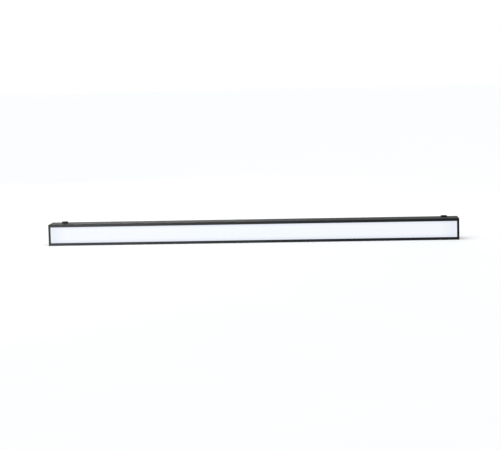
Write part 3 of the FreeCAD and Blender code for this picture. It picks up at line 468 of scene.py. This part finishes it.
@maker
def make_black_screw():
    """Blackened steel with bright rubbed spots in its recess and rim."""
    made = Finish("black_screw", (0.03, 0.03, 0.032), 0.38, 0.85, 0.5)
    spots = made.span(made.noise(900.0, 4.0), 0.55, 0.72, 0.0, 1.0)
    made.colour(made.mixed(spots, (0.035, 0.035, 0.037), (0.13, 0.13, 0.135)))
    made.rough(made.span(made.noise(1500.0, 2.0), 0.3, 0.7, 0.3, 0.48))
    made.bump(made.noise(2500.0, 2.0), 0.01 * MM, 0.4)
    return made


def plain_moulded(name, dark, light, roughness, scale, depth=0.02 * MM):
    """A dull moulded or coated surface whose colour drifts between two shades."""
    made = Finish(name, dark, roughness, 0.0, 0.4)
    drift = made.span(made.noise(scale, 4.0), 0.3, 0.7, 0.0, 1.0)
    made.colour(made.mixed(drift, dark, light))
    made.rough(made.span(made.noise(scale * 6, 2.0), 0.3, 0.7, roughness - 0.06, roughness + 0.08))
    made.bump(made.noise(scale * 8, 2.0), depth, 0.5)
    return made


@maker
def make_white_cell():
    """Matt white for the mixing cells."""
    return plain_moulded("white_cell", (0.8, 0.8, 0.79), (0.86, 0.86, 0.85), 0.7, 90.0)


@maker
def make_rubber():
    """Black rubber for seals."""
    return plain_moulded("rubber", (0.012, 0.012, 0.012), (0.025, 0.025, 0.025), 0.8, 300.0)


@maker
def make_pad():
    """Soft grey heat pad."""
    return plain_moulded("pad", (0.3, 0.33, 0.37), (0.36, 0.39, 0.43), 0.75, 200.0)


@maker
def make_component():
    """Black component bodies."""
    return plain_moulded("component", (0.015, 0.015, 0.017), (0.03, 0.03, 0.033), 0.45, 260.0)


@maker
def make_ferrite():
    """Grey ferrite and enamelled windings."""
    return plain_moulded("ferrite", (0.05, 0.048, 0.047), (0.1, 0.09, 0.085), 0.6, 350.0)


@maker
def make_led_package():
    """Yellowish resin of the LED packages."""
    return plain_moulded("led_package", (0.78, 0.7, 0.35), (0.86, 0.8, 0.5), 0.35, 500.0)


def board(name, mask, copper):
    """A circuit board: a solder mask with tracks just under it and drilled specks."""
    made = Finish(name, mask, 0.4, 0.0, 0.5)
    tracks = made.node("ShaderNodeTexBrick")
    tracks.inputs["Scale"].default_value = 60.0
    tracks.inputs["Mortar Size"].default_value = 0.03
    turn = made.node("ShaderNodeMapping")
    turn.inputs["Rotation"].default_value = (math.radians(90), 0, 0)
    made.link(made.place(), turn.inputs["Vector"])
    made.link(turn.outputs["Vector"], tracks.inputs["Vector"])
    drift = made.span(made.noise(80.0, 3.0), 0.3, 0.7, 0.0, 0.3)
    share = made.maths("ADD", made.maths("MULTIPLY", tracks.outputs["Fac"], 0.7), drift)
    made.colour(made.mixed(share, mask, copper))
    made.bump(tracks.outputs["Fac"], 0.03 * MM, 0.5)
    return made


@maker
def make_white_board():
    """White-masked LED board."""
    return board("white_board", (0.75, 0.76, 0.75), (0.66, 0.67, 0.64))


@maker
def make_green_board():
    """Green-masked driver board."""
    return board("green_board", (0.012, 0.11, 0.045), (0.03, 0.2, 0.08))


@maker
def make_jacket():
    """Smooth cable jacket."""
    return plain_moulded("jacket", (0.02, 0.02, 0.022), (0.035, 0.035, 0.038), 0.5, 400.0)


# ---- Sizes read from the frame ---------------------------------------------------------------------------------

BOARD_COUNT = 5
CELLS_PER_BOARD = 10
BEZEL = 6.6 * MM
LIP_GAP = 0.2 * MM
OPAL_FLANGE = 1.6 * MM
OPAL_SHOULDER = 0.8 * MM
OPAL_CROWN = 0.12 * MM
OPAL_WALL = 1.8 * MM
OPAL_STATIONS = 101


def lip_edges():
    """The heights of the housing's lower and upper lip edges, from the bezel and the housing's box."""
    low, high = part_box("housing_extrusion")
    return low.z + BEZEL, high.z - BEZEL


def middle_of(node):
    """The middle of a CAD node's box."""
    low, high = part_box(node)
    return (low + high) / 2


# ---- Pieces ----------------------------------------------------------------------------------------------------


def diffuser_profile():
    """The opal strip's outline in (y, z): a crowned face with rounded shoulders, a hollow back and two flanges."""
    low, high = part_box("front_diffuser")
    bottom, top = lip_edges()
    bottom += LIP_GAP
    top -= LIP_GAP
    face = low.y
    back = high.y
    step = back - OPAL_FLANGE
    shoulder = OPAL_SHOULDER
    crown = OPAL_CROWN
    inner = OPAL_WALL
    z = np.linspace(bottom + shoulder, top - shoulder, 25)
    share = (z - z[0]) / (z[-1] - z[0]) * 2 - 1
    front = np.stack([face + crown * share**2, z], -1)
    lower = arc((face + crown + shoulder, bottom + shoulder), shoulder, 270, 180, 7)[:-1]
    upper = arc((face + crown + shoulder, top - shoulder), shoulder, 180, 90, 7)[1:]
    rest = [
        (step, top), (step, high.z), (back, high.z), (back, top - inner), (step, top - inner),
        (step, bottom + inner), (back, bottom + inner), (back, low.z), (step, low.z), (step, bottom),
    ]
    return np.concatenate([lower, front, upper, np.array(rest)])


def carried(profile, stations):
    """A closed (y, z) profile carried along X through the stations, with both ends closed."""
    profile = np.asarray(profile, float)
    stations = np.asarray(stations, float)
    count = len(profile)
    x = np.repeat(stations, count)
    yz = np.tile(profile, (len(stations), 1))
    points = np.column_stack([x, yz])
    faces = grid_faces(len(stations), count)
    last = (len(stations) - 1) * count
    return points, faces + [list(range(count)), [last + i for i in range(count)][::-1]]


class BATTEN_OT_diffuser(bpy.types.Operator):
    """Makes the lit opal strip behind the housing's lips"""

    bl_idname = "batten.diffuser"
    bl_label = "Opal diffuser"

    def execute(self, context):
        low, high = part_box("front_diffuser")
        points, faces = carried(diffuser_profile(), np.linspace(low.x, high.x, OPAL_STATIONS))
        piece = mesh_piece("opal_strip", points, faces, ROOT, finish("opal"))
        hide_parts("front_diffuser")
        return {"FINISHED"}


KNOB_FLUTES = 24
KNOB_TURNS = 192


def knob_surface(side):
    """A low round grip: the radius is fluted by a cosine round the rim, and the dome has a straight slot.

    The profile runs from the middle of the underside, out and up the rim, over a rounded shoulder and in along
    a shallow dome. Within half the slot's width of the middle line, the dome drops by the slot's depth.
    """
    node = f"{side}_lock_knob"
    low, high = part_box(node)
    centre = middle_of(node)
    radius = (high.x - low.x) / 2
    height = high.z - low.z
    foot = 0.3 * MM
    shoulder = 1.3 * MM
    crown = 0.35 * MM
    flute_depth = 0.28 * MM
    flute_from = 0.1 * MM
    slot_half = 0.9 * MM
    slot_reach = 5.2 * MM
    slot_depth = 1.1 * MM
    slot_over = 0.25 * MM
    slot_past = 0.1 * MM
    flank = 0.14 * MM
    inner = radius - shoulder
    under = [(r, 0.0) for r in np.linspace(0, radius - foot, 6)]
    rim = arc((radius - foot, foot), foot, -90, 0, 4)[1:]
    side_rows = [(radius, h) for h in np.linspace(foot, height - crown - shoulder, 6)][1:]
    over = arc((inner, height - crown - shoulder), shoulder, 0, 90, 9)[1:]
    dome = [(r, height - crown * (r / inner) ** 2) for r in np.linspace(inner, 0, 40)][1:]
    profile = np.concatenate([np.array(under), rim, np.array(side_rows), over, np.array(dome)])

    def spread(a, r, h):
        share = np.clip((r - inner) / shoulder, 0, 1)
        fluted = r - flute_depth * share * (0.5 + 0.5 * np.cos(KNOB_FLUTES * a)) * (h > flute_from)
        across = np.clip((slot_half - np.abs(r * np.sin(a))) / flank, 0, 1)
        along = np.clip((slot_reach - np.abs(r * np.cos(a))) / flank, 0, 1)
        top = (h > height - crown - slot_over) & (r < inner + slot_past)
        return fluted, h - slot_depth * across * along * top

    points, faces = turned(profile, KNOB_TURNS, spread)
    return points + np.array((centre.x, centre.y, low.z)), faces


class BATTEN_OT_lock_knobs(bpy.types.Operator):
    """Makes the two low round lock knobs on the top"""

    bl_idname = "batten.lock_knobs"
    bl_label = "Lock knobs"

    def execute(self, context):
        for side in SIDES:
            points, faces = knob_surface(side)
            name = f"{side}_lock_grip"
            piece = mesh_piece(name, points, faces, f"{side}_lock", finish("knob_plastic"))
            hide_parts(f"{side}_lock_knob")
        return {"FINISHED"}


class BATTEN_OT_machined(bpy.types.Operator):
    """Rounds the sharp edges of the housing, caps, cover, rail, sockets and links, and gives them their finish"""

    bl_idname = "batten.machined"
    bl_label = "Machined and moulded shells"

    def execute(self, context):
        props = context.scene.batten_finish
        shells = [
            ("housing_extrusion", "housing_body", "black_anodised", "black_anodised"),
            ("rear_cover", "rear_plate", "rear_anodised", "black_anodised"),
            ("mounting_rail", "rear_rail", "rail_anodised", "black_anodised"),
            ("left_end_cap", "left_cap", "black_cap", "black_anodised"),
            ("right_end_cap", "right_cap", "black_cap", "black_anodised"),
            ("link_bar", "steel_link", "bright_steel", "bright_steel"),
            ("left_rail_nut", "left_t_nut", "bright_steel", "bright_steel"),
            ("right_rail_nut", "right_t_nut", "bright_steel", "bright_steel"),
            ("vent_plug", "breather", "black_plastic", "black_plastic"),
        ]
        shells += [(node, node.replace("socket", "shell"), "black_plastic", "black_plastic") for node in SOCKETS]
        for node, name, material, slot in shells:
            softened(node, name, finish(material), props.edge_round)
        for node, name in SMALL_METAL.items():
            softened(node, name, finish("black_screw"), props.edge_round / 2)
        softened("socket_contacts", "contact_set", finish("brass"), props.edge_round / 2)
        return {"FINISHED"}


CARRIED = {
    "rubber": ("end_gaskets", "socket_gaskets", "lock_seals"),
    "pad": ("thermal_pads",),
    "green_board": ("driver_board",),
    "component": ("driver_chips", "driver_capacitors", "board_links", "driver_headers", "feed_connector", "vent_nut"),
    "ferrite": ("driver_inductors", "driver_transformer"),
    "brass": ("lock_bushes",),
    "jacket": ("inner_leads",),
    "bright_steel": (
        "board_screws", "driver_screws", "driver_standoffs", "earth_stud", "left_link_guide", "right_link_guide",
        "left_lock_stem", "right_lock_stem", "link_guide_screws",
    ),
    "white_cell": tuple(f"cell_grid_{i + 1}" for i in range(BOARD_COUNT)),
    "white_board": tuple(f"led_board_{i + 1}" for i in range(BOARD_COUNT)),
    "led_package": tuple(f"led_chips_{i + 1}" for i in range(BOARD_COUNT)),
}


class BATTEN_OT_carried_parts(bpy.types.Operator):
    """Gives every carried-over CAD piece its own finish"""

    bl_idname = "batten.carried_parts"
    bl_label = "Inner parts and fasteners"

    def execute(self, context):
        for material, nodes in CARRIED.items():
            for node in nodes:
                mesh = frame["nodes"][node].data
                mesh.materials.clear()
                mesh.materials.append(finish(material))
        return {"FINISHED"}


# ---- Stage -----------------------------------------------------------------------------------------------------


# Name, place, aim, width and height in metres, and the beam's spread in degrees.
PANELS = (
    ("key", (-1.4, -2.2, 0.13), (-0.37, 0, 0.03), (0.7, 0.18), 36.0),
    ("rear", (-1.05, 2.4, 0.3), (-0.25, 0, 0.05), (1.95, 0.3), 60.0),
    ("back", (0.15, 1.4, 0.026), (0.1, 0.03, 0.026), (1.4, 0.04), 70.0),
)
TOP_TOWARDS = (0.25, 0.12, -1.0)
TOP_SPREAD = 60
FLOOR_LINES = 13


def area_light(name, spot, aim, size, power, spread):
    """A soft light at spot, facing aim, whose beam narrows to the spread angle."""
    data = bpy.data.lights.new(name, "AREA")
    data.shape = "RECTANGLE"
    data.size, data.size_y = size
    data.energy = power
    data.spread = math.radians(spread)
    lamp = bpy.data.objects.new(name, data)
    bpy.context.scene.collection.objects.link(lamp)
    lamp.location = spot
    lamp.rotation_euler = (Vector(aim) - Vector(spot)).to_track_quat("-Z", "Y").to_euler()
    lamp.visible_camera = False
    return lamp


def sun_light(name, towards, power, spread):
    """A distant soft light that falls along towards, with an even strength over the whole floor."""
    data = bpy.data.lights.new(name, "SUN")
    data.energy = power
    data.angle = spread
    lamp = bpy.data.objects.new(name, data)
    bpy.context.scene.collection.objects.link(lamp)
    lamp.rotation_euler = Vector(towards).to_track_quat("-Z", "Y").to_euler()
    return lamp


def stage_floor(props):
    """A wide pale floor as a grid, dead flat, with a faint paper grain."""
    half = props.floor_half
    line = np.linspace(-half, half, FLOOR_LINES)
    x, y = np.meshgrid(line, line)
    points = np.stack([x, y, np.zeros_like(x)], -1).reshape(-1, 3)
    mesh = bpy.data.meshes.new("floor")
    mesh.from_pydata(points.tolist(), [], grid_faces(len(line), len(line), False))
    floor = bpy.data.objects.new("floor", mesh)
    bpy.context.scene.collection.objects.link(floor)
    paper = Finish("pale_floor", tuple(props.floor_colour), 0.9, 0.0, 0.1)
    drift = paper.span(paper.noise(4.0, 3.0), 0.3, 0.7, 0.0, 1.0)
    paper.colour(paper.mixed(drift, scaled(tuple(props.floor_colour), 0.99), tuple(props.floor_colour)))
    mesh.materials.append(paper.material)


def stage_world(props):
    """An even pale surround that is seen as white and lights softly."""
    world = bpy.data.worlds.new("surround")
    bpy.context.scene.world = world
    world.use_nodes = True
    tree = world.node_tree
    seen = tree.nodes["Background"]
    seen.inputs["Color"].default_value = (1, 1, 1, 1)
    seen.inputs["Strength"].default_value = 1.0
    soft = tree.nodes.new("ShaderNodeBackground")
    soft.inputs["Color"].default_value = (0.96, 0.98, 1.0, 1)
    soft.inputs["Strength"].default_value = props.surround
    path = tree.nodes.new("ShaderNodeLightPath")
    blend = tree.nodes.new("ShaderNodeMixShader")
    tree.links.new(path.outputs["Is Camera Ray"], blend.inputs[0])
    tree.links.new(soft.outputs[0], blend.inputs[1])
    tree.links.new(seen.outputs[0], blend.inputs[2])
    tree.links.new(blend.outputs[0], tree.nodes["World Output"].inputs["Surface"])


def stage_camera(props):
    """A long lens to the front and a little to the right and above, rolled slightly."""
    back = Vector((
        math.sin(props.azimuth) * math.cos(props.elevation),
        -math.cos(props.azimuth) * math.cos(props.elevation),
        math.sin(props.elevation),
    ))
    right = Vector((math.cos(props.azimuth), math.sin(props.azimuth), 0))
    up = back.cross(right)
    tilt_right = right * math.cos(props.roll) + up * math.sin(props.roll)
    tilt_up = up * math.cos(props.roll) - right * math.sin(props.roll)
    data = bpy.data.cameras.new("view")
    data.lens = props.lens
    data.sensor_width = 36.0
    data.clip_end = 100.0
    camera = bpy.data.objects.new("view", data)
    bpy.context.scene.collection.objects.link(camera)
    turn = Matrix((tilt_right, tilt_up, back)).transposed().to_4x4()
    camera.matrix_world = Matrix.Translation(Vector(props.aim) + back * props.distance) @ turn
    bpy.context.scene.camera = camera


class BATTEN_OT_stage(bpy.types.Operator):
    """Makes the pale floor, the soft lights and the camera"""

    bl_idname = "batten.stage"
    bl_label = "Floor, lights and camera"

    def execute(self, context):
        props = context.scene.batten_stage
        stage_floor(props)
        stage_world(props)
        stage_camera(props)
        for name, spot, aim, size, spread in PANELS:
            area_light(name, spot, aim, size, getattr(props, name + "_power"), spread)
        sun_light("top", TOP_TOWARDS, props.top_power, math.radians(TOP_SPREAD))
        context.scene.view_settings.view_transform = "Standard"
        context.scene.view_settings.look = "None"
        return {"FINISHED"}


# ---- Properties, panel and registration ------------------------------------------------------------------------


class BattenFinish(bpy.types.PropertyGroup):
    """Colours and surface qualities of the batten."""

    housing_colour: bpy.props.FloatVectorProperty(
        name="Housing", description="Colour of the anodised shell", subtype="COLOR", size=3, min=0, max=1,
        default=(0.005, 0.0052, 0.0055),
    )
    rear_colour: bpy.props.FloatVectorProperty(
        name="Rear", description="Colour of the rear cover, and of the rail before its rubbing", subtype="COLOR",
        size=3, min=0, max=1, default=(0.018, 0.0185, 0.0195),
    )
    housing_roughness: bpy.props.FloatProperty(
        name="Housing roughness", description="How matt the anodising is", default=0.58, min=0.05, max=1,
        subtype="FACTOR",
    )
    housing_specular: bpy.props.FloatProperty(
        name="Housing shine", description="Strength of the shell's reflections", default=0.14, min=0, max=1,
        subtype="FACTOR",
    )
    edge_round: bpy.props.FloatProperty(
        name="Edge rounding", description="Width of the small rounds on machined edges", default=0.18 * MM,
        min=0, max=1 * MM, unit="LENGTH", precision=5,
    )
    opal_colour: bpy.props.FloatVectorProperty(
        name="Opal", description="Unlit colour of the diffuser", subtype="COLOR", size=3, min=0, max=1,
        default=(0.012, 0.0123, 0.0126),
    )
    glow_colour: bpy.props.FloatVectorProperty(
        name="Glow", description="Colour of the light through the diffuser", subtype="COLOR", size=3, min=0, max=1,
        default=(0.928, 0.961, 0.994),
    )
    glow_strength: bpy.props.FloatProperty(
        name="Glow strength", description="Brightness of the diffuser", default=0.965, min=0, max=10
    )
    edge_fade: bpy.props.FloatProperty(
        name="Edge fade", description="How much weaker the glow is at the lips", default=0.14, min=0, max=1,
        subtype="FACTOR",
    )
    edge_reach: bpy.props.FloatProperty(
        name="Edge reach", description="How far the weaker edge reaches down from the upper lip", default=6.5 * MM,
        min=0, max=0.05, unit="LENGTH", precision=4,
    )
    lower_reach: bpy.props.FloatProperty(
        name="Lower reach", description="How far the weaker edge reaches up from the lower lip", default=10 * MM,
        min=0, max=0.05, unit="LENGTH", precision=4,
    )
    end_reach: bpy.props.FloatProperty(
        name="End reach", description="How far the weaker light reaches in from each end", default=45 * MM,
        min=0, max=0.5, unit="LENGTH", precision=4,
    )


class BattenStage(bpy.types.PropertyGroup):
    """Floor, light and view."""

    floor_half: bpy.props.FloatProperty(
        name="Floor", description="Half the floor's width", default=30.0, min=1, unit="LENGTH"
    )
    floor_colour: bpy.props.FloatVectorProperty(
        name="Floor colour", description="Colour of the floor", subtype="COLOR", size=3, min=0, max=1,
        default=(0.96, 0.96, 0.96),
    )
    surround: bpy.props.FloatProperty(
        name="Surround", description="Strength of the even light from all round", default=0.9, min=0, max=10
    )
    key_power: bpy.props.FloatProperty(
        name="Key", description="Power of the soft light at the left", default=6.0, min=0, unit="POWER"
    )
    rear_power: bpy.props.FloatProperty(
        name="Rear", description="Power of the soft light behind, at the left", default=1.6, min=0, unit="POWER"
    )
    back_power: bpy.props.FloatProperty(
        name="Back", description="Power of the low strip of light behind, which stays under the top", default=3.0,
        min=0, unit="POWER",
    )
    top_power: bpy.props.FloatProperty(
        name="Top", description="Strength of the even light from above", default=0.5, min=0
    )
    azimuth: bpy.props.FloatProperty(
        name="Azimuth", description="View turned to the right of the front", default=math.radians(3.576),
        subtype="ANGLE",
    )
    elevation: bpy.props.FloatProperty(
        name="Elevation", description="View raised above level", default=math.radians(5.705), subtype="ANGLE"
    )
    roll: bpy.props.FloatProperty(
        name="Roll", description="Tilt of the camera", default=math.radians(-1.292), subtype="ANGLE"
    )
    distance: bpy.props.FloatProperty(
        name="Distance", description="Camera to aim point", default=3.768, min=0.1, unit="LENGTH"
    )
    lens: bpy.props.FloatProperty(name="Lens", description="Focal length in millimetres", default=110.84, min=1)
    aim: bpy.props.FloatVectorProperty(
        name="Aim", description="Point the camera looks at", subtype="XYZ", size=3, default=(-0.0069, 0.0, 0.04065)
    )


OPERATORS = (
    BATTEN_OT_diffuser,
    BATTEN_OT_lock_knobs,
    BATTEN_OT_machined,
    BATTEN_OT_carried_parts,
    BATTEN_OT_stage,
)


class BATTEN_PT_panel(bpy.types.Panel):
    """Lists the batten's pieces and the stage"""

    bl_label = "Strip Batten"
    bl_idname = "BATTEN_PT_panel"
    bl_space_type = "VIEW_3D"
    bl_region_type = "UI"
    bl_category = "Batten"

    def draw(self, context):
        for operator in OPERATORS:
            self.layout.operator(operator.bl_idname)
        for group in (context.scene.batten_finish, context.scene.batten_stage):
            box = self.layout.box()
            for key in group.__annotations__:
                box.prop(group, key)


CLASSES = (BattenFinish, BattenStage, *OPERATORS, BATTEN_PT_panel)


def register():
    for cls in CLASSES:
        bpy.utils.register_class(cls)
    bpy.types.Scene.batten_finish = bpy.props.PointerProperty(type=BattenFinish)
    bpy.types.Scene.batten_stage = bpy.props.PointerProperty(type=BattenStage)


def unregister():
    del bpy.types.Scene.batten_stage
    del bpy.types.Scene.batten_finish
    for cls in reversed(CLASSES):
        bpy.utils.unregister_class(cls)


def main():
    register()
    for operator in OPERATORS:
        section, action = operator.bl_idname.split(".")
        getattr(getattr(bpy.ops, section), action)()


if __name__ == "__main__":
    main()
